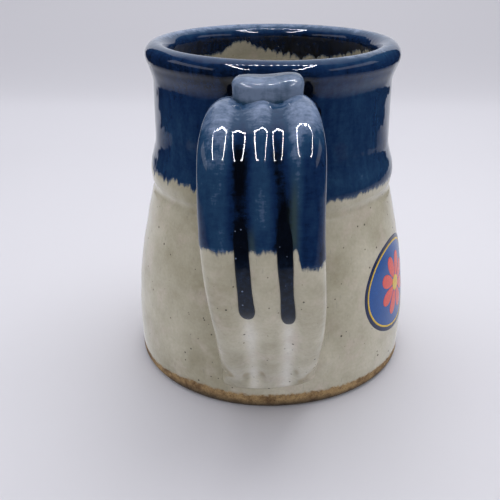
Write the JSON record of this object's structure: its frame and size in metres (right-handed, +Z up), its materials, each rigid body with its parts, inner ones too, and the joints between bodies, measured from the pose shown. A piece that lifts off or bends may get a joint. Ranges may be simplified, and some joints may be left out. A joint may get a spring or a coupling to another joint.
{
  "type": "stoneware mug",
  "caption": "Hand-thrown stoneware drinking mug with a low round belly, raised ring, straight collar, rolled rim and a ribbed strap handle with a thumb rest, dipped in blue over grey glaze.",
  "frame": {"origin": "centre of the foot, on the face that stands on the table", "axes": "+Z up along the turning axis, the handle points to -Y, +X is to the right when the handle faces the viewer"},
  "size_m": [0.1004, 0.1317, 0.115],
  "materials": {
    "glazed_stoneware": "glossy warm grey glaze with iron specks over stoneware, bare clay at the foot",
    "blue_glaze": "glossy cobalt blue glaze, darker where it pools"
  },
  "bodies": {
    "root": {"thrown_body": "glazed_stoneware", "strap_handle": "glazed_stoneware", "thumb_rest": "glazed_stoneware", "upper_weld": "glazed_stoneware", "lower_weld": "glazed_stoneware", "collar_glaze": "blue_glaze", "handle_glaze": "blue_glaze", "left_glaze_run": "blue_glaze", "right_glaze_run": "blue_glaze"}
  },
  "joints": []
}
